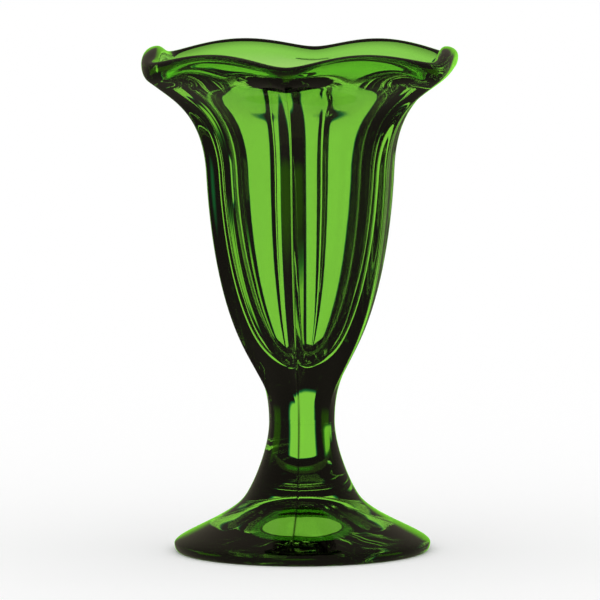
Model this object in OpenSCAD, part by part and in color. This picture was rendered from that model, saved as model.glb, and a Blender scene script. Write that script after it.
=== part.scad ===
// Parfait glass: a six-panelled pressed bowl, a short solid stem and a round foot, fused end to end.
// Millimetres. +Z is up, the origin is the middle of the plane that the glass stands on.
// The middles of two opposite panels lie on the X axis, two opposite ridges on the Y axis.

/* [Bowl] */

// Height of the belly above the joint with the stem, where the wall starts to flare
belly_h = 84; // [60:0.5:110]
// Height of the flare, from the belly to the tips of the rim
flare_h = 41.6; // [32:0.1:60]
// Distance across opposite panels at the belly
belly_d = 57.6; // [50:0.2:80]
// Lean of the wall at the belly, in degrees
belly_lean = 3; // [0:0.1:8]
// Distance across opposite tips of the rim at its widest
rim_d = 104.2; // [90:0.2:125]
// How straight the wall leaves the joint, as the reach of its curve
base_reach = 25.8; // [12:0.2:36]
// Reach of the wall's curve below the belly
belly_reach = 69.5; // [40:0.5:72]
// Reach of the flare's curve above the belly
flare_reach = 29.5; // [15:0.5:36]
// Reach of the flare's curve below the rim
rim_reach = 13; // [6:0.1:18]

/* [Panels] */

// Number of panels, and of waves in the rim
panels = 6; // [4:1:10]
// How far the panels swell out towards the ridges at the belly
swell_rise = 2.84; // [0.5:0.01:4]
// Softness of that swell, in degrees around the axis
swell_soft = 2.9; // [0.5:0.05:8]
// How far the crests of the ridges stand out beyond the swell at the belly
crest_rise = 2.83; // [0.4:0.01:3.5]
// How far the crests stand out at the joint with the stem
neck_crest_rise = 0.1; // [0:0.02:0.6]
// Softness of the crests, in degrees around the axis
crest_soft = 1.67; // [1:0.01:6]
// Sharpness of the crests, as the power of their shape
crest_power = 5.8; // [2:0.1:10]
// How late the ridges grow from the neck to the belly, as a power
ridge_growth = 0.5; // [0.5:0.05:1.3]
// Height above the neck over which the ridges rise out of the smooth stem
ridge_start = 18; // [4:0.5:40]

/* [Rim] */

// How far the rim dips between its tips
rim_dip = 3.4; // [1:0.1:6]
// How far the rim stands out at its dips beyond its tips
rim_spread = 4.1; // [0.5:0.1:6]
// How far the highest line of the lip stands out at the dips beyond the tips
crest_spread = 4.7; // [0.5:0.1:7]
// How far the inside of the lip stands out at the dips beyond the tips
inner_spread = 3.4; // [0.5:0.1:7]
// How far below the tips the waves begin on the outside
wave_depth = 12.5; // [8:0.1:24]
// How far below the tips the waves begin on the inside
inner_wave_depth = 8.3; // [6:0.1:24]
// Softness of the waves of the rim, in degrees around the axis
wave_soft = 6.3; // [3:0.1:15]
// Height of the tips above the line where the rim is widest
lip_h = 2.9; // [1.5:0.1:6]
// Width of the rounded lip outside its highest line
lip_out = 3.8; // [2:0.1:7]
// Width of the rounded lip inside its highest line
lip_in = 2.2; // [1.5:0.1:4]
// Height of the rounding on the inside of the lip
lip_in_h = 3.2; // [1.5:0.1:4.5]

/* [Cavity] */

// Thickness of the wall in the middle of a panel at the belly
wall = 4.2; // [3.5:0.1:8]
// Thickness of solid glass under the cavity
base_t = 21.4; // [8:0.1:24]
// Width of the rounded bottom of the cavity, as the reach of its curve
floor_reach = 14.7; // [3:0.1:18]
// Reach of the cavity's curve below the belly
cavity_reach = 43.5; // [25:0.5:55]
// Reach of the inner flare's curve above the belly
inner_flare_reach = 33.5; // [15:0.5:36]
// Reach of the inner flare's curve below the lip
inner_rim_reach = 10; // [6:0.1:18]
// How far the cavity swells out towards the ridges at the belly
inner_swell_rise = 0.77; // [0:0.01:2]
// Softness of that swell, in degrees around the axis
inner_swell_soft = 4.9; // [1:0.1:8]
// How far the ribs behind the ridges stand into the cavity
rib_rise = 0.3; // [0:0.02:2]
// Softness of the ribs, in degrees around the axis
rib_soft = 4.4; // [1:0.1:8]
// Sharpness of the ribs, as the power of their shape
rib_power = 19; // [2:0.5:20]

/* [Stem] */

// Height of the stem between its two joints
stem_h = 25.7; // [18:0.1:45]
// Diameter of the neck, where the stem joins the bowl
neck_d = 22; // [16:0.2:28]
// How straight the stem leaves the neck, as the reach of its curve
neck_reach = 8.8; // [4:0.2:14]
// Reach of the stem's curve above the foot
flare_in_reach = 5; // [2:0.2:9]

/* [Foot] */

// Diameter of the foot
foot_d = 85.8; // [70:0.2:110]
// Height of the foot up to its joint with the stem
foot_h = 17.7; // [16:0.1:26]
// Diameter at the joint of stem and foot
root_d = 39.2; // [32:0.2:50]
// Slope of stem and foot where they join, in degrees
root_slope = 51; // [35:1:60]
// Reach of the foot's curve below the joint
root_reach = 8.9; // [4:0.2:12]
// Height at which the foot is widest
edge_h = 2.6; // [2:0.1:5]
// Width of the rounding under the edge
edge_in = 1.6; // [0.8:0.1:4]
// Reach of the foot's curve above its edge
edge_reach = 2.8; // [1:0.1:6]
// Width of the flat ring that the glass stands on
rest_w = 7; // [2:0.1:10]
// Thickness of the foot's glass over the hollow under it
crown_t = 2.9; // [1.5:0.1:10]
// Reach of the hollow's curve out from its top
hollow_reach = 13.4; // [4:0.1:20]
// Radius that the hollow's curve makes for from the resting ring
hollow_r = 6.3; // [5:0.1:24]
// Height that the hollow's curve makes for from the resting ring
hollow_rise = 2.8; // [0:0.1:4]

/* [Glass] */

// Colour of the glass
glass_colour = "YellowGreen"; // [YellowGreen, LimeGreen, SeaGreen, LightSteelBlue]

/* [Hidden] */

neck_z = foot_h + stem_h;
neck_r = neck_d / 2;
root_r = root_d / 2;
foot_r = foot_d / 2;
belly_r = belly_d / 2;
rim_r = rim_d / 2;
hollow_h = foot_h - crown_t;

belly_z = neck_z + belly_h;
tip_z = belly_z + flare_h;
rim_z = tip_z - lip_h;
wave_z = tip_z - wave_depth;
inner_wave_z = tip_z - inner_wave_depth;
floor_z = neck_z + base_t;

half_panel = 180 / panels;
// Columns of points in half a panel, closer together towards the ridge
half_steps = 8;
crowd = 1.5;
wall_steps = 14;
flare_steps = 12;
lip_steps = 5;
cavity_steps = 14;
stem_steps = 12;
foot_steps = 16;
edge_steps = 8;
hollow_steps = 20;

// The swell has a plain round shape, as a power
swell_power = 2;

// A point of the cubic curve with the four control points c, t from 0 to 1
function cubic(c, t) =
    pow(1 - t, 3) * c[0] + 3 * pow(1 - t, 2) * t * c[1] + 3 * (1 - t) * t * t * c[2] + t * t * t * c[3];

// The points of that curve in n steps, without its first point
function cubic_points(c, n) = [for (i = [1 : n]) cubic(c, i / n)];

// A smooth step from 0 to 1 between a and b
function ease(a, b, v) =
    let (t = min(1, max(0, (v - a) / (b - a))))
    t * t * (3 - 2 * t);

// The value at a share of the way from a to b
function blend(a, b, share) = a + (b - a) * share;

// Angles of the columns over one panel, from ridge to ridge
panel_angles = [
    for (i = [-half_steps : half_steps - 1])
        let (t = abs(i) / half_steps)
        sign(i) * half_panel * (1 - pow(1 - t, crowd))
];
columns = [for (k = [0 : panels - 1]) for (a = panel_angles) [k * 2 * half_panel + a, abs(a)]];

// How much of a ridge there is at an angle from the middle of a panel: 0 in the middle, 1 on the ridge
function ridge_share(angle, soft, power) =
    let (
        away = half_panel - angle,
        turn = sqrt(away * away + soft * soft) - soft,
        full = sqrt(half_panel * half_panel + soft * soft) - soft
    )
    pow(max(0, 1 - turn / full), power);

// One ring of points. Its station is [radius, height, swell, drop, swell's softness, crest], where
// swell, drop and crest are those on a ridge and crest is [rise, softness, power].
function ring(s) = [
    for (c = columns)
        let (
            share = ridge_share(c[1], s[4], swell_power),
            r = s[0] + s[2] * share + s[5][0] * ridge_share(c[1], s[5][1], s[5][2])
        )
        [r * cos(c[0]), r * sin(c[0]), s[1] - s[3] * share]
];

// A station where the panels turn into the waves of the rim, of which there is a share of 0 to 1
function waved_station(p, swell, soft, spread, share, crest) = [
    p[0],
    p[1],
    blend(swell, spread, share),
    rim_dip * share,
    blend(soft, wave_soft, share),
    crest
];

// The crest of a ridge on the outside
function outer_crest(rise) = [rise, crest_soft, crest_power];

// Stations of the outside of the wall: the ridges grow from the neck to the belly, then turn into waves
function wall_station(p) =
    let (
        started = ease(neck_z, neck_z + ridge_start, p[1]),
        grown = started * pow(ease(neck_z, belly_z, p[1]), ridge_growth),
        waves = ease(wave_z, rim_z, p[1]),
        crest = outer_crest(blend(neck_crest_rise, crest_rise, grown) * (1 - waves))
    )
    waved_station(p, swell_rise * grown, swell_soft, rim_spread, waves, crest);

// Stations of the lip, which has the full waves and no crests
function lip_station(p, spread) = waved_station(p, 0, wave_soft, spread, 1, outer_crest(0));

// Stations of the cavity: a swell and ribs behind the ridges, which turn into the waves of the rim
function cavity_station(p) =
    let (
        grown = ease(floor_z, belly_z, p[1]),
        waves = ease(inner_wave_z, lip_in_point[1], p[1]),
        rib = [-rib_rise * grown * (1 - waves), rib_soft, rib_power]
    )
    waved_station(p, inner_swell_rise * grown, inner_swell_soft, inner_spread, waves, rib);

lean = [sin(belly_lean), cos(belly_lean)];
neck_point = [neck_r, neck_z];
belly_point = [belly_r, belly_z];
rim_point = [rim_r, rim_z];
crest_r = rim_r - lip_out;
lip_in_point = [crest_r - lip_in, tip_z - lip_in_h];
cavity_belly = [belly_r - wall, belly_z];
cavity_floor = [0, floor_z];

wall_curve = [neck_point, neck_point + [0, base_reach], belly_point - belly_reach * lean, belly_point];
flare_curve = [belly_point, belly_point + flare_reach * lean, rim_point - [0, rim_reach], rim_point];
inner_flare_curve = [
    lip_in_point,
    lip_in_point - [0, inner_rim_reach],
    cavity_belly + inner_flare_reach * lean,
    cavity_belly
];
cavity_curve = [
    cavity_belly,
    cavity_belly - cavity_reach * lean,
    cavity_floor + [floor_reach, 0],
    cavity_floor
];

// The lip is a quarter of an oval outside its highest line and another inside it
lip_outer = [
    for (i = [1 : lip_steps])
        let (a = 90 * i / lip_steps)
        lip_station(
            [crest_r + lip_out * cos(a), rim_z + lip_h * sin(a)],
            blend(rim_spread, crest_spread, sin(a))
        )
];
lip_inner = [
    for (i = [1 : lip_steps])
        let (a = 90 * i / lip_steps)
        lip_station(
            [crest_r - lip_in * sin(a), tip_z - lip_in_h * (1 - cos(a))],
            blend(crest_spread, inner_spread, 1 - cos(a))
        )
];

bowl_stations = concat(
    [wall_station(neck_point)],
    [for (p = cubic_points(wall_curve, wall_steps)) wall_station(p)],
    [for (p = cubic_points(flare_curve, flare_steps)) wall_station(p)],
    lip_outer,
    lip_inner,
    [for (p = cubic_points(inner_flare_curve, flare_steps)) cavity_station(p)],
    [for (i = [1 : cavity_steps - 1]) cavity_station(cubic(cavity_curve, i / cavity_steps))]
);

// The two triangles of each cell between ring i and ring i + 1, seen from outside
function band(i, n) = [
    for (j = [0 : n - 1])
        let (
            a = i * n + j,
            b = i * n + (j + 1) % n
        )
        each [[a, a + n, b], [b, a + n, b + n]]
];

module bowl() {
    n = len(columns);
    last = len(bowl_stations) - 1;
    points = concat([for (s = bowl_stations) each ring(s)], [[0, 0, floor_z]]);
    underside = [for (j = [0 : n - 1]) j];
    floor_fan = [for (j = [0 : n - 1]) [last * n + j, len(points) - 1, last * n + (j + 1) % n]];
    color(glass_colour)
        polyhedron(points, concat([underside], [for (i = [0 : last - 1]) each band(i, n)], floor_fan));
}

root_point = [root_r, foot_h];
root_way = [cos(root_slope), -sin(root_slope)];
stem_curve = [
    neck_point,
    neck_point - [0, neck_reach],
    root_point - flare_in_reach * root_way,
    root_point
];

// Stations of the stem from the foot up: the crests of the bowl's ridges run out in it
function stem_station(p) =
    waved_station(p, 0, swell_soft, 0, 0, outer_crest(neck_crest_rise * ease(foot_h, neck_z, p[1])));

module stem() {
    n = len(columns);
    stations = [for (i = [0 : stem_steps]) stem_station(cubic(stem_curve, 1 - i / stem_steps))];
    points = [for (s = stations) each ring(s)];
    underside = [for (j = [0 : n - 1]) j];
    top = [for (j = [0 : n - 1]) (stem_steps + 1) * n - 1 - j];
    color(glass_colour)
        polyhedron(points, concat([underside, top], [for (i = [0 : stem_steps - 1]) each band(i, n)]));
}

edge_point = [foot_r, edge_h];
foot_curve = [
    root_point,
    root_point + root_reach * root_way,
    edge_point + [0, edge_reach],
    edge_point
];
rest_out_r = foot_r - edge_in;
rest_in = [rest_out_r - rest_w, 0];
hollow_top = [0, hollow_h];
hollow_curve = [rest_in, [hollow_r, hollow_rise], hollow_top + [hollow_reach, 0], hollow_top];

module foot() {
    edge = [
        for (i = [1 : edge_steps])
            let (a = 90 * i / edge_steps)
            [rest_out_r + edge_in * cos(a), edge_h - edge_h * sin(a)]
    ];
    color(glass_colour)
        rotate_extrude($fn = 120)
            polygon(concat(
                [[0, foot_h], root_point],
                cubic_points(foot_curve, foot_steps),
                edge,
                [rest_in],
                cubic_points(hollow_curve, hollow_steps)
            ));
}

bowl();
stem();
foot();
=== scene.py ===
"""Looks of a green parfait glass: a panelled bowl with a waved rim, a solid stem and a domed foot.

Lengths are in metres and angles in radians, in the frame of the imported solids: +Z up, the origin in the
middle of the plane that the glass stands on, the middles of two opposite panels on the X axis.
"""

import logging
import math
from dataclasses import dataclass, fields
from enum import Enum
from typing import ClassVar, Union

import bpy
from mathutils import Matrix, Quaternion, Vector


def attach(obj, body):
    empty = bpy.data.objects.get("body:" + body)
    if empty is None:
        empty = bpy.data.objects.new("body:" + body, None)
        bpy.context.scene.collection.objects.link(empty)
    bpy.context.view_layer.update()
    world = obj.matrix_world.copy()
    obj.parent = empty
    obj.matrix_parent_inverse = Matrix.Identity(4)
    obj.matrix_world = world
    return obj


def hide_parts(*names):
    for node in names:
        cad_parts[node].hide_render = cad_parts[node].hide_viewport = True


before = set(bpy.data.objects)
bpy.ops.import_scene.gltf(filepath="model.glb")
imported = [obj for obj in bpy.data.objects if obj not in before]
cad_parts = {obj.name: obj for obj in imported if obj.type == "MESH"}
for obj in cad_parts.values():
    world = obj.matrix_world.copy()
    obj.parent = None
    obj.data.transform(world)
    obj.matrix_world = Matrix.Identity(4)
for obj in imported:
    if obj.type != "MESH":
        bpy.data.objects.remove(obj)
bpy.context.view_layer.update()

log = logging.getLogger("parfait_glass")

MM = 0.001
DEG = math.radians(1)
BODY = "root"
ROW_CROWDING = 1.7
FOOT_WEAR = 0.2
WHITE = (1.0, 1.0, 1.0, 1.0)
BLACK = (0.0, 0.0, 0.0, 1.0)

Point = tuple[float, float]
Colour = tuple[float, float, float]
Operand = Union["Signal", float]

PALE_LIGHT: Colour = (0.75, 0.82, 0.6)
PALE_EDGE: Colour = (0.08, 0.25, 0.2)


class Part(Enum):
    """The pieces of the glass, by the names of the solids that they stand for."""

    BOWL = "bowl"
    STEM = "stem"
    FOOT = "foot"


class Slot(Enum):
    """The record's material slots."""

    BOWL_GLASS = "bowl_glass"
    STEM_GLASS = "stem_glass"


class Crowd(Enum):
    """Where the steps along a curve are shorter."""

    EVEN = "even"
    START = "start"
    END = "end"
    BOTH = "both"

    def place(self, share: float) -> float:
        """Finds where on the curve a step ends.

        Args:
            share: The share of the steps that are done, from 0 to 1.

        Returns:
            The place on the curve, from 0 to 1.
        """
        if self is Crowd.START:
            return share ** ROW_CROWDING
        if self is Crowd.END:
            return 1 - (1 - share) ** ROW_CROWDING
        if self is Crowd.BOTH:
            return ease(0.0, 1.0, share)
        return share


def ease(low: float, high: float, value: float) -> float:
    """A smooth step from 0 to 1.

    Args:
        low: Where the step starts.
        high: Where it ends.
        value: Where it is read.

    Returns:
        0 before low, 1 after high, and a smooth rise between them.
    """
    t = min(1.0, max(0.0, (value - low) / (high - low)))
    return t * t * (3 - 2 * t)


def blend(first: float, second: float, share: float) -> float:
    """The value that lies at a share of the way from the first to the second."""
    return first + (second - first) * share


def cubic(control: list[Point], steps: int, crowd: Crowd = Crowd.EVEN) -> list[Point]:
    """Points of a cubic curve.

    Args:
        control: The curve's four control points, as radius and height.
        steps: How many steps the curve is cut into.
        crowd: Where the steps are shorter.

    Returns:
        The points after the first one, so that curves can be strung together.
    """
    points = []
    for i in range(1, steps + 1):
        t = crowd.place(i / steps)
        weights = ((1 - t) ** 3, 3 * (1 - t) ** 2 * t, 3 * (1 - t) * t * t, t ** 3)
        points.append(tuple(sum(w * c[axis] for w, c in zip(weights, control)) for axis in (0, 1)))
    return points


def quarter_oval(centre: Point, across: float, up: float, start: float, steps: int) -> list[Point]:
    """A quarter turn along an oval, without its first point.

    Args:
        centre: Middle of the oval, as radius and height.
        across: Half its width.
        up: Half its height.
        start: Angle at which the quarter turn begins.
        steps: How many steps it is cut into.

    Returns:
        The points after the first one.
    """
    points = []
    for i in range(1, steps + 1):
        angle = start + math.pi / 2 * i / steps
        points.append((centre[0] + across * math.cos(angle), centre[1] + up * math.sin(angle)))
    return points


class Signal:
    """An output of a node, on which arithmetic adds further nodes to the same tree."""

    def __init__(self, wiring: "Wiring", socket: bpy.types.NodeSocket) -> None:
        """Keeps the socket and the tree's wiring."""
        self.wiring = wiring
        self.socket = socket

    def __add__(self, other: Operand) -> "Signal":
        """The sum of the two."""
        return self.wiring.math("ADD", self, other)

    def __sub__(self, other: Operand) -> "Signal":
        """This less the other."""
        return self.wiring.math("SUBTRACT", self, other)

    def __rtruediv__(self, other: Operand) -> "Signal":
        """The other divided by this."""
        return self.wiring.math("DIVIDE", other, self)

    def __rsub__(self, other: Operand) -> "Signal":
        """The other less this."""
        return self.wiring.math("SUBTRACT", other, self)

    def __mul__(self, other: Operand) -> "Signal":
        """The product of the two."""
        return self.wiring.math("MULTIPLY", self, other)

    def __truediv__(self, other: Operand) -> "Signal":
        """This divided by the other."""
        return self.wiring.math("DIVIDE", self, other)

    def __pow__(self, other: Operand) -> "Signal":
        """This to the power of the other."""
        return self.wiring.math("POWER", self, other)

    def apply(self, operation: str, *others: Operand) -> "Signal":
        """The result of one operation of the math node on this and the others."""
        return self.wiring.math(operation, self, *others)


class Wiring:
    """Adds nodes to one tree and links them."""

    def __init__(self, tree: bpy.types.NodeTree) -> None:
        """Keeps the tree."""
        self.tree = tree

    def node(
        self, kind: str, inputs: dict[str, object] | None = None, **settings: object
    ) -> bpy.types.Node:
        """Adds a node.

        Args:
            kind: The node's type.
            inputs: Values or signals for its input sockets, by name.
            **settings: Its own properties.

        Returns:
            The new node.
        """
        made = self.tree.nodes.new(kind)
        for name, value in settings.items():
            setattr(made, name, value)
        for name, value in (inputs or {}).items():
            self.feed(made.inputs[name], value)
        return made

    def feed(self, target: bpy.types.NodeSocket, value: object) -> None:
        """Links a signal to an input, or sets the input to a plain value.

        Args:
            target: The input.
            value: A signal, or a value of the input's own kind.
        """
        if isinstance(value, Signal):
            self.tree.links.new(value.socket, target)
        else:
            target.default_value = value

    def signal(self, made: bpy.types.Node, output: str | int = 0) -> Signal:
        """An output of a node, as a signal."""
        return Signal(self, made.outputs[output])

    def math(self, operation: str, *operands: Operand) -> Signal:
        """Adds a math node.

        Args:
            operation: What the node does.
            *operands: Signals or plain numbers.

        Returns:
            The node's result.
        """
        made = self.node("ShaderNodeMath", operation=operation)
        for socket, operand in zip(made.inputs, operands):
            self.feed(socket, operand)
        return self.signal(made)

    def step(self, value: Signal, low: Operand, high: Operand) -> Signal:
        """A smooth step of a signal from 0 at low to 1 at high."""
        made = self.node(
            "ShaderNodeMapRange",
            {"Value": value, "From Min": low, "From Max": high},
            interpolation_type="SMOOTHSTEP",
        )
        return self.signal(made)

    def mix(self, first: object, second: object, share: Operand, how: str = "MIX") -> Signal:
        """Adds a mix of two colours.

        Args:
            first: The colour at a share of 0.
            second: The colour at a share of 1.
            share: How much of the second colour there is.
            how: How the mix node blends them.

        Returns:
            The mixed colour.
        """
        made = self.node("ShaderNodeMix", {"Factor": share}, data_type="RGBA", blend_type=how)
        ends = {"A_Color": first, "B_Color": second}
        for socket in made.inputs:
            if socket.identifier in ends:
                self.feed(socket, ends[socket.identifier])
        return Signal(self, next(s for s in made.outputs if s.identifier == "Result_Color"))


@dataclass(frozen=True)
class Station:
    """One ring of a piece: its place on the profile and what the ridges and the mould do to it.

    Attributes:
        radius: Radius in the middle of a panel.
        height: Height there.
        rise: How far the ring stands out at the ridges.
        drop: How far it dips there.
        soft: Softness of that rise and dip, as an angle round the axis.
        crest: Height of the narrow crest on the ridges.
        crest_soft: Softness of the crest, as an angle.
        crest_power: How narrow the crest is.
        seam: Height of the mould's seams, which run along every other ridge.
        ripple: How much of the mould's ripples there is.
        tint: Share of the glass's colour that the surface gives.
        shade: Painted shade: how much the surface's colour is darkened, for the dark lip and the dark
            hollow under the foot.
        seam_shade: Painted shade along the seams: how much their colour is darkened, for the dark line
            that a seam shows.
        joint: 1 on a face that is fused to the next piece.
    """

    radius: float
    height: float
    rise: float = 0.0
    drop: float = 0.0
    soft: float = 2.5 * DEG
    crest: float = 0.0
    crest_soft: float = 2.5 * DEG
    crest_power: float = 4.0
    seam: float = 0.0
    ripple: float = 0.0
    tint: float = 1.0
    # Painted shade: darkening of the colour of the lip, the hollow and the seams.
    shade: float = 0.0
    seam_shade: float = 0.0
    joint: float = 0.0


@dataclass
class PanelMould:
    """The mould that turns a profile into a panelled piece, as one tree of geometry nodes."""

    panels: int = 6
    columns_per_panel: int = 56
    crowding: float = 1.5
    swell_power: float = 2.0
    seam_half_width: float = 0.7 * MM
    ripple_depth: float = 0.09 * MM
    ripple_width: float = 17 * MM
    ripple_length: float = 55 * MM
    ripple_detail: float = 1.0
    joint_limit: float = 0.99
    weld: float = 0.002 * MM

    def __post_init__(self) -> None:
        """Builds the tree once, for all the pieces."""
        self.tree = bpy.data.node_groups.new("panel_mould", "GeometryNodeTree")
        self._add_sockets()
        self._wire()

    def _add_sockets(self) -> None:
        """Gives the tree its named inputs and its output."""
        sockets = {
            "Profile": "NodeSocketObject",
            "Panels": "NodeSocketInt",
            "Columns": "NodeSocketInt",
            "Crowding": "NodeSocketFloat",
            "Seam half width": "NodeSocketFloat",
            "Ripple depth": "NodeSocketFloat",
            "Ripple width": "NodeSocketFloat",
            "Ripple length": "NodeSocketFloat",
            "Weld": "NodeSocketFloat",
            "Glass": "NodeSocketMaterial",
            "Joint": "NodeSocketMaterial",
        }
        for name, kind in sockets.items():
            self.tree.interface.new_socket(name=name, in_out="INPUT", socket_type=kind)
        self.tree.interface.new_socket(name="Piece", in_out="OUTPUT", socket_type="NodeSocketGeometry")

    def _wire(self) -> None:
        """Wires the tree: a grid of columns and stations is bent round the axis and welded."""
        w = Wiring(self.tree)
        sizes = w.node("NodeGroupInput")
        panels = w.signal(sizes, "Panels")
        columns = w.signal(sizes, "Columns")

        info = w.node("GeometryNodeObjectInfo", {"Object": w.signal(sizes, "Profile")})
        profile = w.signal(info, "Geometry")
        count = w.signal(w.node("GeometryNodeAttributeDomainSize", {"Geometry": profile}), "Point Count")
        grid = w.node(
            "GeometryNodeMeshGrid",
            {"Size X": 1.0, "Size Y": 1.0, "Vertices X": columns + 1, "Vertices Y": count},
        )
        place = w.node("ShaderNodeSeparateXYZ", {"Vector": w.signal(w.node("GeometryNodeInputPosition"))})
        row = ((w.signal(place, "Y") + 0.5) * (count - 1)).apply("ROUND")
        turn = ((w.signal(place, "X") + 0.5) * columns).apply("ROUND") / columns * panels

        def station(name: str) -> Signal:
            """Reads a value of the station that a grid row stands for.

            Args:
                name: The value's name.

            Returns:
                The value.
            """
            value = w.node("GeometryNodeInputNamedAttribute", {"Name": name}, data_type="FLOAT")
            inputs = {"Geometry": profile, "Value": w.signal(value, "Attribute"), "Index": row}
            sample = w.node("GeometryNodeSampleIndex", inputs, data_type="FLOAT", domain="POINT")
            return w.signal(sample, "Value")

        half_panel = w.math("DIVIDE", math.pi, panels)
        number = turn.apply("FLOOR")
        across = (turn - number) * 2 - 1
        away = half_panel * (1 - across.apply("ABSOLUTE")) ** w.signal(sizes, "Crowding")
        angle = half_panel * number * 2 + across.apply("SIGN") * (half_panel - away)

        def ridge(soft: Signal, power: Operand) -> Signal:
            """Works out how much of a ridge there is.

            Args:
                soft: Softness of the ridge, as an angle.
                power: How narrow it is.

            Returns:
                0 in the middle of a panel, 1 on the ridge.
            """
            bend = (away * away + soft * soft).apply("SQRT") - soft
            full_bend = (half_panel * half_panel + soft * soft).apply("SQRT") - soft
            return (1 - bend / full_bend).apply("MAXIMUM", 0.0) ** power

        share = ridge(station("soft"), self.swell_power)
        crest = ridge(station("crest_soft"), station("crest_power"))

        base_radius = station("radius")
        seam_ridge = turn.apply("ROUND").apply("MODULO", 2.0)
        seam = (1 - w.step(away * base_radius, 0.0, w.signal(sizes, "Seam half width"))) * seam_ridge
        round_radius = base_radius + station("rise") * share
        round_radius = round_radius + station("crest") * crest + station("seam") * seam
        height = station("height") - station("drop") * share

        ripple_place = w.node(
            "ShaderNodeCombineXYZ",
            {
                "X": round_radius * angle.apply("COSINE") / w.signal(sizes, "Ripple width"),
                "Y": round_radius * angle.apply("SINE") / w.signal(sizes, "Ripple width"),
                "Z": height / w.signal(sizes, "Ripple length"),
            },
        )
        noise = w.node(
            "ShaderNodeTexNoise",
            {"Vector": w.signal(ripple_place), "Scale": 1.0, "Detail": self.ripple_detail},
        )
        ripple = (w.signal(noise) * 2 - 1) * w.signal(sizes, "Ripple depth") * station("ripple")
        radius = round_radius + ripple

        marked = w.signal(grid, "Mesh")
        marks_and_painted_shade = {
            "joint": station("joint"),
            "tint": station("tint"),
            # Painted shade: the darkened colour of the lip, the hollow and the seams.
            "shade": station("shade") + station("seam_shade") * seam,
        }
        for name, value in marks_and_painted_shade.items():
            store = w.node(
                "GeometryNodeStoreNamedAttribute",
                {"Geometry": marked, "Name": name, "Value": value},
                data_type="FLOAT",
                domain="POINT",
            )
            marked = w.signal(store)
        bent_place = w.node(
            "ShaderNodeCombineXYZ",
            {"X": radius * angle.apply("COSINE"), "Y": radius * angle.apply("SINE"), "Z": height},
        )
        bent = w.node(
            "GeometryNodeSetPosition",
            {"Geometry": marked, "Position": w.signal(bent_place)},
        )
        welded = w.node(
            "GeometryNodeMergeByDistance",
            {"Geometry": w.signal(bent), "Distance": w.signal(sizes, "Weld")},
        )
        joint_mark = w.node("GeometryNodeInputNamedAttribute", {"Name": "joint"}, data_type="FLOAT")
        joint_face = w.signal(joint_mark, "Attribute").apply("GREATER_THAN", self.joint_limit)
        smooth = w.node(
            "GeometryNodeSetShadeSmooth",
            {"Geometry": w.signal(welded), "Shade Smooth": 1 - joint_face},
            domain="FACE",
        )
        real = w.node("GeometryNodeRealizeInstances", {"Geometry": w.signal(smooth)})
        glass = w.node(
            "GeometryNodeSetMaterial",
            {"Geometry": w.signal(real), "Material": w.signal(sizes, "Glass")},
        )
        joint = w.node(
            "GeometryNodeSetMaterial",
            {"Geometry": w.signal(glass), "Selection": joint_face, "Material": w.signal(sizes, "Joint")},
        )
        w.node("NodeGroupOutput", {"Piece": w.signal(joint)})

    def press(
        self, name: str, stations: list[Station], glass: bpy.types.Material, joint: bpy.types.Material
    ) -> bpy.types.Object:
        """Makes one piece from its profile.

        Args:
            name: The piece's name.
            stations: Its rings, in the order in which they keep the outside on the right.
            glass: The material of its surface.
            joint: The material of the faces that are fused to the next piece.

        Returns:
            The piece, as a plain mesh object.
        """
        profile = self._profile(name + "_profile", stations)
        mesh = bpy.data.meshes.new(name)
        piece = bpy.data.objects.new(name, mesh)
        bpy.context.scene.collection.objects.link(piece)
        modifier = piece.modifiers.new("panel_mould", "NODES")
        modifier.node_group = self.tree
        values = {
            "Profile": profile,
            "Panels": self.panels,
            "Columns": self.panels * self.columns_per_panel,
            "Crowding": self.crowding,
            "Seam half width": self.seam_half_width,
            "Ripple depth": self.ripple_depth,
            "Ripple width": self.ripple_width,
            "Ripple length": self.ripple_length,
            "Weld": self.weld,
            "Glass": glass,
            "Joint": joint,
        }
        for item in self.tree.interface.items_tree:
            if item.name in values:
                modifier[item.identifier] = values[item.name]
        evaluated = piece.evaluated_get(bpy.context.evaluated_depsgraph_get())
        piece.data = bpy.data.meshes.new_from_object(evaluated)
        piece.data.name = name
        piece.modifiers.clear()
        bpy.data.objects.remove(profile)
        bpy.data.meshes.remove(mesh)
        return piece

    @staticmethod
    def _profile(name: str, stations: list[Station]) -> bpy.types.Object:
        """Makes a loose row of points that carries the values of the stations.

        Args:
            name: The row's name.
            stations: The rings that it stands for.

        Returns:
            The row, as a mesh object.
        """
        mesh = bpy.data.meshes.new(name)
        mesh.from_pydata([(s.radius, 0.0, s.height) for s in stations], [], [])
        for field in fields(Station):
            values = mesh.attributes.new(field.name, "FLOAT", "POINT")
            values.data.foreach_set("value", [getattr(s, field.name) for s in stations])
        profile = bpy.data.objects.new(name, mesh)
        bpy.context.scene.collection.objects.link(profile)
        return profile


class PressedPiece:
    """A piece of the glass, which the mould presses from its rings."""

    part: ClassVar[Part]
    slot: ClassVar[Slot]

    def stations(self) -> list[Station]:
        """The piece's rings, in the order in which they keep the outside on the right."""
        raise NotImplementedError

    def build(
        self, mould: PanelMould, glass: bpy.types.Material, joint: bpy.types.Material
    ) -> bpy.types.Object:
        """Presses the piece, dresses it and ties it to the solid that it stands for.

        Args:
            mould: The mould that presses it.
            glass: The material of its surface.
            joint: The material of the faces that are fused to the next piece.

        Returns:
            The piece.
        """
        piece = mould.press(self.part.value + "_piece", self.stations(), glass, joint)
        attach(piece, BODY)
        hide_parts(self.part.value)
        return piece


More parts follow.
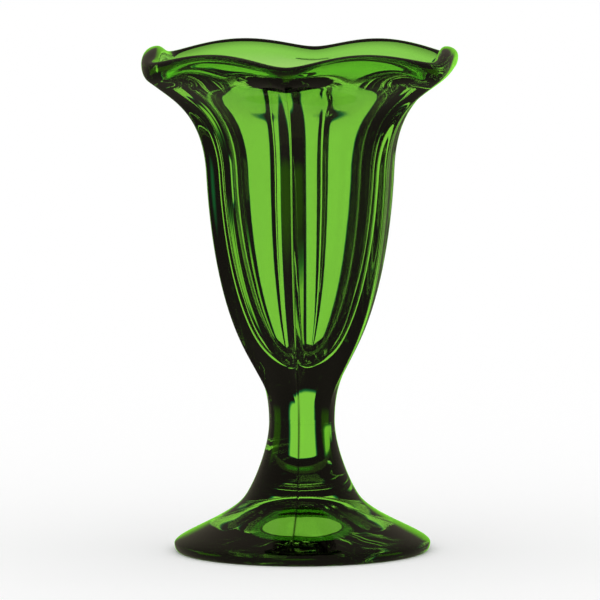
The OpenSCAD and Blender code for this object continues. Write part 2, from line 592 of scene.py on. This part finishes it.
@dataclass
class Foot(PressedPiece):
    """The round foot with a flat ring to stand on and a wide hollow under its middle."""

    part: ClassVar[Part] = Part.FOOT
    slot: ClassVar[Slot] = Slot.STEM_GLASS
    diameter: float = 85.8 * MM
    height: float = 17.7 * MM
    root_diameter: float = 39.2 * MM
    root_slope: float = 51 * DEG
    root_reach: float = 8.9 * MM
    edge_height: float = 2.6 * MM
    edge_rounding: float = 1.6 * MM
    edge_reach: float = 2.8 * MM
    ring_width: float = 7 * MM
    crown_thickness: float = 2.9 * MM
    hollow_start: float = 13 * MM
    hollow_rise: float = 2.8 * MM
    hollow_width: float = 13.4 * MM
    fold_depth: float = 0.45 * MM
    fold_reach: float = 9 * MM
    fold_ripple: float = 4.0
    # Painted shade: how much the colour of the hollow under the foot is darkened.
    painted_hollow_shade: float = 0.6
    seam_height: float = 0.16 * MM
    # Painted shade: how much the colour along the seams is darkened, to a dark line.
    seam_shade: float = 1.0
    curve_steps: int = 56
    edge_steps: int = 12
    hollow_steps: int = 48

    @property
    def root(self) -> Point:
        """Where the foot's outside meets the stem's."""
        return self.root_diameter / 2, self.height

    @property
    def root_way(self) -> Point:
        """The direction of the outside at the root, downwards."""
        return math.cos(self.root_slope), -math.sin(self.root_slope)

    def stations(self) -> list[Station]:
        """The foot's rings, from the top of the hollow round the edge to the root.

        Returns:
            The stations, with the joint with the stem last.
        """
        radius = self.diameter / 2
        ring_out = radius - self.edge_rounding
        ring_in = ring_out - self.ring_width
        hollow_top = self.height - self.crown_thickness
        hollow = cubic(
            [
                (0.0, hollow_top),
                (self.hollow_width, hollow_top),
                (self.hollow_start, self.hollow_rise),
                (ring_in, 0.0),
            ],
            self.hollow_steps,
        )
        edge = quarter_oval(
            (ring_out, self.edge_height),
            self.edge_rounding,
            self.edge_height,
            -math.pi / 2,
            self.edge_steps,
        )
        outside = cubic(
            [
                (radius, self.edge_height),
                (radius, self.edge_height + self.edge_reach),
                (
                    self.root[0] + self.root_reach * self.root_way[0],
                    self.root[1] + self.root_reach * self.root_way[1],
                ),
                self.root,
            ],
            self.curve_steps,
            Crowd.END,
        )
        under = [(0.0, hollow_top), *hollow]

        def ring(point: Point, joint: float = 0.0) -> Station:
            """A station of the outside, on which the seam and its painted shade run out."""
            share = ease(self.edge_height, self.height / 2, point[1])
            return Station(
                *point, seam=self.seam_height * share, seam_shade=self.seam_shade * share, joint=joint
            )

        def fold(point: Point) -> Station:
            """A station of the hollow, whose glass has folds and ripples from the plunger and painted
            shade that darkens it.
            """
            share = ease(0.0, self.fold_reach, point[0]) * ease(0.0, self.fold_reach, ring_in - point[0])
            return Station(
                *point,
                crest=-self.fold_depth * share,
                ripple=self.fold_ripple * share,
                shade=self.painted_hollow_shade,
            )

        return [
            *(fold(p) for p in under),
            *(Station(*p) for p in ((ring_out, 0.0), *edge)),
            *(ring(p) for p in outside[:-1]),
            ring(self.root, 1.0),
            Station(0.0, self.height, joint=1.0),
        ]


@dataclass
class Stem(PressedPiece):
    """The solid waist between the foot and the bowl, in which the bowl's ridges run out."""

    part: ClassVar[Part] = Part.STEM
    slot: ClassVar[Slot] = Slot.STEM_GLASS
    foot: Foot
    height: float = 25.7 * MM
    neck_diameter: float = 22 * MM
    neck_reach: float = 8.8 * MM
    flare_reach: float = 5 * MM
    ridge_rise: float = 0.1 * MM
    curve_steps: int = 72

    @property
    def neck(self) -> Point:
        """Where the stem's outside meets the bowl's."""
        return self.neck_diameter / 2, self.foot.height + self.height

    def stations(self) -> list[Station]:
        """The stem's rings, from the joint with the foot up.

        Returns:
            The stations, with the joint with the bowl last.
        """
        root, way, neck = self.foot.root, self.foot.root_way, self.neck
        curve = cubic(
            [
                root,
                (root[0] - self.flare_reach * way[0], root[1] - self.flare_reach * way[1]),
                (neck[0], neck[1] - self.neck_reach),
                neck,
            ],
            self.curve_steps,
            Crowd.BOTH,
        )

        def ring(point: Point, joint: float = 0.0) -> Station:
            """A station of the outside, whose ridges grow upwards."""
            rise = self.ridge_rise * ease(root[1], neck[1], point[1])
            return Station(
                *point,
                crest=rise,
                seam=self.foot.seam_height,
                # Painted shade along the seam: a dark line in the colour.
                seam_shade=self.foot.seam_shade,
                joint=joint,
            )

        return [
            Station(0.0, root[1], joint=1.0),
            ring(root, 1.0),
            *(ring(p) for p in curve[:-1]),
            ring(neck, 1.0),
            Station(0.0, neck[1], joint=1.0),
        ]


@dataclass
class Bowl(PressedPiece):
    """The panelled cup with its flared rim, waved between the ridges and the middles of the panels."""

    part: ClassVar[Part] = Part.BOWL
    slot: ClassVar[Slot] = Slot.BOWL_GLASS
    stem: Stem
    belly_height: float = 84 * MM
    belly_diameter: float = 57.6 * MM
    belly_lean: float = 3 * DEG
    flare_height: float = 41.6 * MM
    rim_diameter: float = 104.2 * MM
    base_reach: float = 25.8 * MM
    belly_reach: float = 69.5 * MM
    flare_reach: float = 29.5 * MM
    rim_reach: float = 13 * MM
    swell_rise: float = 2.84 * MM
    swell_soft: float = 2.9 * DEG
    crest_rise: float = 2.83 * MM
    crest_soft: float = 1.67 * DEG
    crest_power: float = 5.8
    ridge_growth: float = 0.5
    ridge_start: float = 18 * MM
    inner_swell_rise: float = 0.77 * MM
    inner_swell_soft: float = 4.9 * DEG
    rib_rise: float = 0.3 * MM
    rib_soft: float = 4.4 * DEG
    rib_power: float = 19.0
    inner_flare_reach: float = 33.5 * MM
    inner_rim_reach: float = 7.5 * MM
    rim_dip: float = 3.4 * MM
    rim_spread: float = 4.1 * MM
    crest_spread: float = 4.7 * MM
    inner_spread: float = 3.4 * MM
    inner_wave_depth: float = 8.3 * MM
    wave_depth: float = 12.5 * MM
    wave_soft: float = 6.3 * DEG
    lip_height: float = 2.9 * MM
    lip_out: float = 3.8 * MM
    lip_in: float = 2.2 * MM
    lip_in_height: float = 3.2 * MM
    wall: float = 4.2 * MM
    base_thickness: float = 21.4 * MM
    floor_reach: float = 9 * MM
    cavity_reach: float = 43.5 * MM
    lip_tint: float = 0.9
    tint_depth: float = 16 * MM
    # Painted shade on the lip: its colour is darkened towards the top, over this depth, for the dark band
    # of the thick lip.
    painted_lip_shade: float = 0.8
    painted_lip_shade_depth: float = 3.6 * MM
    wall_steps: int = 64
    flare_steps: int = 46
    lip_steps: int = 12
    cavity_steps: int = 58

    def __post_init__(self) -> None:
        """Works out the heights and points that the curves share."""
        self.neck = self.stem.neck
        self.belly = (self.belly_diameter / 2, self.neck[1] + self.belly_height)
        self.tip = self.belly[1] + self.flare_height
        self.rim = (self.rim_diameter / 2, self.tip - self.lip_height)
        self.wave_start = self.tip - self.wave_depth
        self.crest = self.rim[0] - self.lip_out
        self.lip_inside = (self.crest - self.lip_in, self.tip - self.lip_in_height)
        self.cavity_belly = (self.belly[0] - self.wall, self.belly[1])
        self.floor = self.neck[1] + self.base_thickness

    def _along(self, point: Point, reach: float) -> Point:
        """The point at a reach along the wall's lean at the belly."""
        return point[0] + reach * math.sin(self.belly_lean), point[1] + reach * math.cos(self.belly_lean)

    def _waved(
        self, point: Point, rise: float, full_rise: float, share: float, soft: float, **more: float
    ) -> Station:
        """A station where the panels turn into the waves of the rim.

        Args:
            point: Radius and height in the middle of a panel.
            rise: How far the panels swell out towards the ridges.
            full_rise: How far the rim stands out at its dips.
            share: How much of the waves there is, from 0 to 1.
            soft: Softness of the swell.
            **more: Other values of the station.

        Returns:
            The station.
        """
        return Station(
            *point,
            rise=blend(rise, full_rise, share),
            drop=self.rim_dip * share,
            soft=blend(soft, self.wave_soft, share),
            **more,
        )

    def _wall_station(self, point: Point) -> Station:
        """A station of the outside of the wall, with the mould's seams and their painted shade, the
        glass's ripples and the painted shade of the lip.

        Args:
            point: Radius and height in the middle of a panel.

        Returns:
            The station, whose crest stays within the reach of the rim.
        """
        started = ease(self.neck[1], self.neck[1] + self.ridge_start, point[1])
        grown = started * ease(self.neck[1], self.belly[1], point[1]) ** self.ridge_growth
        waves = ease(self.wave_start, self.rim[1], point[1])
        seam = self.stem.foot.seam_height * (1 - waves) ** 2
        room = self.rim[0] + self.rim_spread - point[0] - seam
        room -= blend(self.swell_rise * grown, self.rim_spread, waves)
        return self._waved(
            point,
            self.swell_rise * grown,
            self.rim_spread,
            waves,
            self.swell_soft,
            crest=min(room, blend(self.stem.ridge_rise, self.crest_rise, grown) * (1 - waves)),
            crest_soft=self.crest_soft,
            crest_power=self.crest_power,
            seam=seam,
            seam_shade=self.stem.foot.seam_shade * (1 - ease(self.neck[1], self.floor, point[1])),
            shade=self._painted_lip_shade(point),
            ripple=ease(self.neck[1], self.floor, point[1]) * (1 - waves) ** 2,
        )

    def _cavity_station(self, point: Point) -> Station:
        """A station of the cavity, with low ribs behind the ridges and the painted shade of the lip.

        Args:
            point: Radius and height in the middle of a panel.

        Returns:
            The station.
        """
        grown = ease(self.floor, self.belly[1], point[1])
        waves = ease(self.tip - self.inner_wave_depth, self.lip_inside[1], point[1])
        return self._waved(
            point,
            self.inner_swell_rise * grown,
            self.inner_spread,
            waves,
            self.inner_swell_soft,
            crest=-self.rib_rise * grown * (1 - waves),
            crest_soft=self.rib_soft,
            crest_power=self.rib_power,
            tint=self.lip_tint * ease(self.tip - self.tint_depth, self.lip_inside[1], point[1]),
            shade=self._painted_lip_shade(point),
            ripple=ease(self.floor, self.floor + self.base_thickness, point[1]) * (1 - waves),
        )

    def _painted_lip_shade(self, point: Point) -> float:
        """Painted shade on the thick lip: how much its colour is darkened at a point, more towards the
        top.
        """
        return self.painted_lip_shade * ease(self.tip - self.painted_lip_shade_depth, self.tip, point[1])

    def _lip_station(self, point: Point, spread: float, tint: float = 1.0) -> Station:
        """A station of the lip, on which the waves are full, the dips stand out by the spread, and painted
        shade darkens the colour.
        """
        return Station(
            *point,
            rise=spread,
            drop=self.rim_dip,
            soft=self.wave_soft,
            tint=tint,
            shade=self._painted_lip_shade(point),
        )

    def _lip(self) -> list[Station]:
        """The rounded lip.

        Returns:
            The stations, over its highest line from outside to inside.
        """
        outer = quarter_oval((self.crest, self.rim[1]), self.lip_out, self.lip_height, 0.0, self.lip_steps)
        inner = quarter_oval(
            (self.crest, self.lip_inside[1]), self.lip_in, self.lip_in_height, math.pi / 2, self.lip_steps
        )
        stations = []
        for point in outer:
            gone_in = (self.rim[0] - point[0]) / self.lip_out
            spread = blend(self.rim_spread, self.crest_spread, gone_in)
            stations.append(self._lip_station(point, spread))
        for point in inner:
            fallen = (self.tip - point[1]) / self.lip_in_height
            spread = blend(self.crest_spread, self.inner_spread, fallen)
            stations.append(self._lip_station(point, spread, blend(1.0, self.lip_tint, fallen)))
        return stations

    def stations(self) -> list[Station]:
        """The bowl's rings, from the joint with the stem over the lip.

        Returns:
            The stations, with the bottom of the cavity last.
        """
        neck_up = (self.neck[0], self.neck[1] + self.base_reach)
        rim_below = (self.rim[0], self.rim[1] - self.rim_reach)
        inside_below = (self.lip_inside[0], self.lip_inside[1] - self.inner_rim_reach)
        floor_out = (self.floor_reach, self.floor)
        wall = cubic(
            [self.neck, neck_up, self._along(self.belly, -self.belly_reach), self.belly],
            self.wall_steps,
            Crowd.START,
        )
        belly_up = self._along(self.belly, self.flare_reach)
        flare = cubic([self.belly, belly_up, rim_below, self.rim], self.flare_steps)
        inner_up = self._along(self.cavity_belly, self.inner_flare_reach)
        inner_flare = cubic([self.lip_inside, inside_below, inner_up, self.cavity_belly], self.flare_steps)
        inner_down = self._along(self.cavity_belly, -self.cavity_reach)
        cavity = cubic([self.cavity_belly, inner_down, floor_out, (0.0, self.floor)], self.cavity_steps)
        neck = self._wall_station(self.neck)
        return [
            Station(0.0, self.neck[1], joint=1.0),
            Station(
                neck.radius,
                neck.height,
                crest=neck.crest,
                seam=neck.seam,
                seam_shade=neck.seam_shade,
                joint=1.0,
            ),
            *(self._wall_station(p) for p in (*wall, *flare)),
            *self._lip(),
            *(self._cavity_station(p) for p in (*inner_flare, *cavity)),
        ]


@dataclass
class PressedMarksAndPaintedShade:
    """What pressing and use leave on the glass, and the painted shade of the lip, the hollow and the
    seams, as one shader node group for all its materials.
    """

    streak_stretch: float = 0.2
    streak_detail: float = 2.0
    scuff_share: float = 0.1
    scuff_detail: float = 4.0
    chill_detail: float = 1.0

    def __post_init__(self) -> None:
        """Builds the group."""
        self.tree = bpy.data.node_groups.new("pressed_marks_and_painted_shade", "ShaderNodeTree")
        sockets = {
            "Tint": "NodeSocketFloat",
            "Shade": "NodeSocketFloat",
            "Streaks": "NodeSocketFloat",
            "Streak length": "NodeSocketFloat",
            "Chill depth": "NodeSocketFloat",
            "Chill size": "NodeSocketFloat",
            "Wear": "NodeSocketFloat",
            "Wear height": "NodeSocketFloat",
            "Colour": "NodeSocketColor",
        }
        for name, kind in sockets.items():
            self.tree.interface.new_socket(name=name, in_out="INPUT", socket_type=kind)
        results = {
            "Colour": "NodeSocketColor",
            "Roughness": "NodeSocketFloat",
            "Normal": "NodeSocketVector",
        }
        for name, kind in results.items():
            self.tree.interface.new_socket(name=name, in_out="OUTPUT", socket_type=kind)
        self._wire()

    def _wire(self) -> None:
        """Wires the group: streaks and painted shade in the colour, chill marks in the normal, and wear
        under the foot.
        """
        w = Wiring(self.tree)
        given = w.node("NodeGroupInput")
        spot = w.signal(w.node("ShaderNodeTexCoord"), "Object")
        length = w.signal(given, "Streak length")

        def noise(place: Signal, size: Signal, detail: float) -> Signal:
            """A noise of a size and a fineness."""
            made = w.node("ShaderNodeTexNoise", {"Vector": place, "Scale": 1 / size, "Detail": detail})
            return w.signal(made)

        stretched = w.node(
            "ShaderNodeMapping", {"Vector": spot, "Scale": (1.0, 1.0, self.streak_stretch)}
        )
        streak = noise(w.signal(stretched), length, self.streak_detail)
        # The colour is darkened by the streaks and by the painted shade.
        light = (1 - streak * w.signal(given, "Streaks")) * (1 - w.signal(given, "Shade"))
        streaked = w.node(
            "ShaderNodeVectorMath",
            {"Vector": w.signal(given, "Colour"), "Scale": light},
            operation="SCALE",
        )
        colour = w.mix(WHITE, w.signal(streaked), w.signal(given, "Tint"))

        height = w.signal(w.node("ShaderNodeSeparateXYZ", {"Vector": spot}), "Z")
        scuffs = noise(spot, length * self.scuff_share, self.scuff_detail)
        low = 1 - w.step(height, 0.0, w.signal(given, "Wear height"))
        roughness = low * scuffs * w.signal(given, "Wear")

        chill = noise(spot, w.signal(given, "Chill size"), self.chill_detail)
        bump = w.node("ShaderNodeBump", {"Height": chill, "Distance": w.signal(given, "Chill depth")})
        w.node("NodeGroupOutput", {"Colour": colour, "Roughness": roughness, "Normal": w.signal(bump)})


@dataclass(frozen=True)
class GlassFinish:
    """Clear coloured glass, whose colour is what two surfaces together leave of white light."""

    name: str
    colour: Colour = (0.214, 0.630, 0.046)
    ior: float = 1.52
    streaks: float = 0.08
    streak_length: float = 22 * MM
    chill_depth: float = 0.012 * MM
    chill_size: float = 5 * MM
    wear: float = 0.0
    wear_height: float = 0.8 * MM

    def material(self, marks_and_painted_shade: PressedMarksAndPaintedShade) -> bpy.types.Material:
        """Makes the material of the surface.

        Args:
            marks_and_painted_shade: The marks that pressing and use leave on it, and the painted shade of
                the lip, the hollow and the seams.

        Returns:
            The material, clear where the tint is 0 and of the full colour where it is 1.
        """
        made = bpy.data.materials.new(self.name)
        made.use_nodes = True
        w = Wiring(made.node_tree)
        values = {
            "Tint": w.signal(w.node("ShaderNodeAttribute", attribute_name="tint"), "Fac"),
            # Painted shade: the stored darkening of the lip, the hollow and the seams.
            "Shade": w.signal(w.node("ShaderNodeAttribute", attribute_name="shade"), "Fac"),
            "Streaks": self.streaks,
            "Streak length": self.streak_length,
            "Chill depth": self.chill_depth,
            "Chill size": self.chill_size,
            "Wear": self.wear,
            "Wear height": self.wear_height,
            "Colour": (*self.colour, 1.0),
        }
        effects = w.node("ShaderNodeGroup", values, node_tree=marks_and_painted_shade.tree)
        shader = made.node_tree.nodes["Principled BSDF"]
        w.feed(shader.inputs["Base Color"], w.signal(effects, "Colour"))
        w.feed(shader.inputs["Roughness"], w.signal(effects, "Roughness"))
        w.feed(shader.inputs["Normal"], w.signal(effects, "Normal"))
        shader.inputs["IOR"].default_value = self.ior
        shader.inputs["Transmission Weight"].default_value = 1.0
        return made


@dataclass(frozen=True)
class FusedJoint:
    """The face at which two pieces are fused: there is glass on both sides, so it doesn't show."""

    name: str = "fused_joint"

    def material(self) -> bpy.types.Material:
        """Makes the material of the face.

        Returns:
            The material, which lets everything through.
        """
        made = bpy.data.materials.new(self.name)
        made.use_nodes = True
        made.node_tree.nodes["Principled BSDF"].inputs["Alpha"].default_value = 0.0
        return made


@dataclass(frozen=True)
class Window:
    """A bright opening in the dark surroundings, with a coloured edge."""

    azimuth: float
    half_width: float
    soft: float
    bottom: float
    bottom_soft: float
    top: float
    top_soft: float
    colour: Colour = (1.0, 1.0, 1.0)
    edge_colour: Colour = (0.0, 0.23, 0.64)
    edge_share: float = 0.3
    full_share: float = 0.7

    def light(self, w: Wiring, azimuth: Signal, elevation: Signal) -> Signal:
        """Adds the nodes that give the window's light.

        Args:
            w: The wiring of the surroundings.
            azimuth: Azimuth of the direction that is looked in.
            elevation: Its elevation.

        Returns:
            The light from that direction.
        """
        off = (azimuth - self.azimuth).apply("WRAP", math.pi, -math.pi).apply("ABSOLUTE")
        across = 1 - w.step(off, self.half_width - self.soft, self.half_width + self.soft)
        above = w.step(elevation, self.bottom - self.bottom_soft, self.bottom + self.bottom_soft)
        below = 1 - w.step(elevation, self.top - self.top_soft, self.top + self.top_soft)
        ramp = w.node("ShaderNodeValToRGB", {"Fac": across * above * below})
        dark, full = ramp.color_ramp.elements
        dark.color = BLACK
        full.position = self.full_share
        full.color = (*self.colour, 1.0)
        edge = ramp.color_ramp.elements.new(self.edge_share)
        edge.color = (*self.edge_colour, 1.0)
        return w.signal(ramp)


@dataclass
class Studio:
    """The white sweep, the bright windows that show through the glass, and the camera."""

    camera_azimuth: float = 5.16 * DEG
    camera_distance: float = 2.3626
    camera_height: float = 0.3239
    aim_height: float = 0.0841
    aim_left: float = 0.00047
    camera_roll: float = -0.24 * DEG
    lens: float = 426.4
    sensor: float = 36.0
    clip_end: float = 100.0
    floor_size: float = 30.0
    back_window: Window = Window(
        azimuth=6.06 * DEG,
        half_width=16.2 * DEG,
        soft=3 * DEG,
        bottom=-31 * DEG,
        bottom_soft=0.5 * DEG,
        top=15 * DEG,
        top_soft=4.3 * DEG,
    )
    side_window: Window = Window(
        azimuth=90 * DEG,
        half_width=7 * DEG,
        soft=6 * DEG,
        bottom=-13 * DEG,
        bottom_soft=1 * DEG,
        top=13.5 * DEG,
        top_soft=4.3 * DEG,
    )
    left_window: Window = Window(
        azimuth=50 * DEG,
        half_width=9 * DEG,
        soft=5 * DEG,
        bottom=-35 * DEG,
        bottom_soft=4 * DEG,
        top=-13 * DEG,
        top_soft=4 * DEG,
        colour=PALE_LIGHT,
        edge_colour=PALE_EDGE,
    )
    right_window: Window = Window(
        azimuth=225 * DEG,
        half_width=18 * DEG,
        soft=6 * DEG,
        bottom=-32 * DEG,
        bottom_soft=4 * DEG,
        top=-6 * DEG,
        top_soft=4 * DEG,
        colour=PALE_LIGHT,
        edge_colour=PALE_EDGE,
    )
    mirror_cards: int = 4
    mirror_soft: float = 4 * DEG
    mirror_right: float = 19 * DEG
    mirror_left: float = 9 * DEG
    mirror_half_height: float = 14 * DEG
    mirror_colour: Colour = (0.30, 0.90, 0.07)
    dim_colour: Colour = (0.18, 0.165, 0.12)
    ceiling_colour: Colour = (0.16, 0.14, 0.105)
    ceiling_span: tuple[float, float] = (10 * DEG, 40 * DEG)

    def build(self) -> None:
        """Makes the floor, the surroundings and the camera."""
        self._floor()
        self._surroundings()
        self._camera()

    def _floor(self) -> None:
        """A wide white floor, which shows the shadow of the glass but doesn't show through it."""
        half = self.floor_size / 2
        mesh = bpy.data.meshes.new("floor")
        corners = [(-half, -half, 0), (half, -half, 0), (half, half, 0), (-half, half, 0)]
        mesh.from_pydata(corners, [], [(0, 1, 2, 3)])
        floor = bpy.data.objects.new("floor", mesh)
        bpy.context.scene.collection.objects.link(floor)
        paper = bpy.data.materials.new("white_sweep")
        paper.use_nodes = True
        shader = paper.node_tree.nodes["Principled BSDF"]
        shader.inputs["Base Color"].default_value = WHITE
        shader.inputs["Roughness"].default_value = 1.0
        shader.inputs["Specular IOR Level"].default_value = 0.0
        mesh.materials.append(paper)
        floor.visible_transmission = False
        floor.visible_glossy = False

    def _windows(self, w: Wiring, azimuth: Signal, elevation: Signal) -> Signal:
        """Adds the nodes for what shows through the glass.

        Args:
            w: The wiring of the surroundings.
            azimuth: Azimuth of the direction that is looked in.
            elevation: Its elevation.

        Returns:
            The light of all the windows.
        """
        light = self.back_window.light(w, azimuth, elevation)
        for window in (self.side_window, self.left_window, self.right_window):
            light = w.mix(light, window.light(w, azimuth, elevation), 1.0, "LIGHTEN")
        return light

    def _reflections(self, w: Wiring, azimuth: Signal, elevation: Signal) -> Signal:
        """Adds the nodes for what the glass mirrors: dim walls and ceiling, and green cards round it.

        Args:
            w: The wiring of the surroundings.
            azimuth: Azimuth of the direction that is looked in.
            elevation: Its elevation.

        Returns:
            The light of the walls, the ceiling and the cards.
        """
        reach = math.pi / self.mirror_cards
        soft = self.mirror_soft
        off = (azimuth - self.back_window.azimuth).apply("WRAP", reach, -reach)
        right = w.step(off, -self.mirror_right - soft, -self.mirror_right + soft)
        left = 1 - w.step(off, self.mirror_left - soft, self.mirror_left + soft)
        away = elevation.apply("ABSOLUTE")
        level = 1 - w.step(away, self.mirror_half_height - soft, self.mirror_half_height + soft)
        height = w.step(elevation, *self.ceiling_span)
        walls = w.mix((*self.dim_colour, 1.0), (*self.ceiling_colour, 1.0), height)
        return w.mix(walls, (*self.mirror_colour, 1.0), right * left * level)

    def _surroundings(self) -> None:
        """White for the camera and the floor; for the glass, dark with bright windows and cards."""
        world = bpy.data.worlds.new("studio")
        bpy.context.scene.world = world
        world.use_nodes = True
        world.node_tree.nodes.clear()
        w = Wiring(world.node_tree)
        spot = w.signal(w.node("ShaderNodeTexCoord"), "Generated")
        way = w.node("ShaderNodeSeparateXYZ", {"Vector": spot})
        azimuth = w.math("ARCTAN2", w.signal(way, "X") * -1.0, w.signal(way, "Y"))
        elevation = w.signal(way, "Z").apply("ARCSINE")
        rays = {
            "Is Glossy Ray": self._reflections(w, azimuth, elevation),
            "Is Transmission Ray": self._windows(w, azimuth, elevation),
        }
        path = w.node("ShaderNodeLightPath")
        surface = w.signal(w.node("ShaderNodeBackground", {"Color": WHITE, "Strength": 1.0}))
        for ray, colour in rays.items():
            light = w.signal(w.node("ShaderNodeBackground", {"Color": colour, "Strength": 1.0}))
            mixed = w.node("ShaderNodeMixShader", {"Fac": w.signal(path, ray)})
            for socket, shader in zip(mixed.inputs[1:], (surface, light)):
                w.feed(socket, shader)
            surface = w.signal(mixed)
        w.node("ShaderNodeOutputWorld", {"Surface": surface})

    def _camera(self) -> None:
        """A long lens, a little to the right of the front ridge and a little above the rim."""
        data = bpy.data.cameras.new("camera")
        data.lens = self.lens
        data.sensor_width = self.sensor
        data.clip_end = self.clip_end
        camera = bpy.data.objects.new("camera", data)
        bpy.context.scene.collection.objects.link(camera)
        sine, cosine = math.sin(self.camera_azimuth), math.cos(self.camera_azimuth)
        camera.location = (
            self.camera_distance * sine,
            -self.camera_distance * cosine,
            self.camera_height,
        )
        aim = Vector((-self.aim_left * cosine, -self.aim_left * sine, self.aim_height))
        level = (aim - camera.location).to_track_quat("-Z", "Y")
        camera.rotation_mode = "QUATERNION"
        camera.rotation_quaternion = level @ Quaternion((0.0, 0.0, 1.0), self.camera_roll)
        bpy.context.scene.camera = camera


def main() -> None:
    """Builds the studio and the three pieces of the glass."""
    logging.basicConfig(level=logging.INFO)
    bpy.context.scene.view_settings.view_transform = "Standard"
    Studio().build()
    marks_and_painted_shade = PressedMarksAndPaintedShade()
    glasses = {
        Slot.BOWL_GLASS: GlassFinish(Slot.BOWL_GLASS.value).material(marks_and_painted_shade),
        Slot.STEM_GLASS: GlassFinish(Slot.STEM_GLASS.value, wear=FOOT_WEAR).material(marks_and_painted_shade),
    }
    joint = FusedJoint().material()
    mould = PanelMould()
    foot = Foot()
    stem = Stem(foot)
    bowl = Bowl(stem)
    for section in (bowl, stem, foot):
        piece = section.build(mould, glasses[section.slot], joint)
        log.info("%s: %d faces", piece.name, len(piece.data.polygons))


if __name__ == "__main__":
    main()
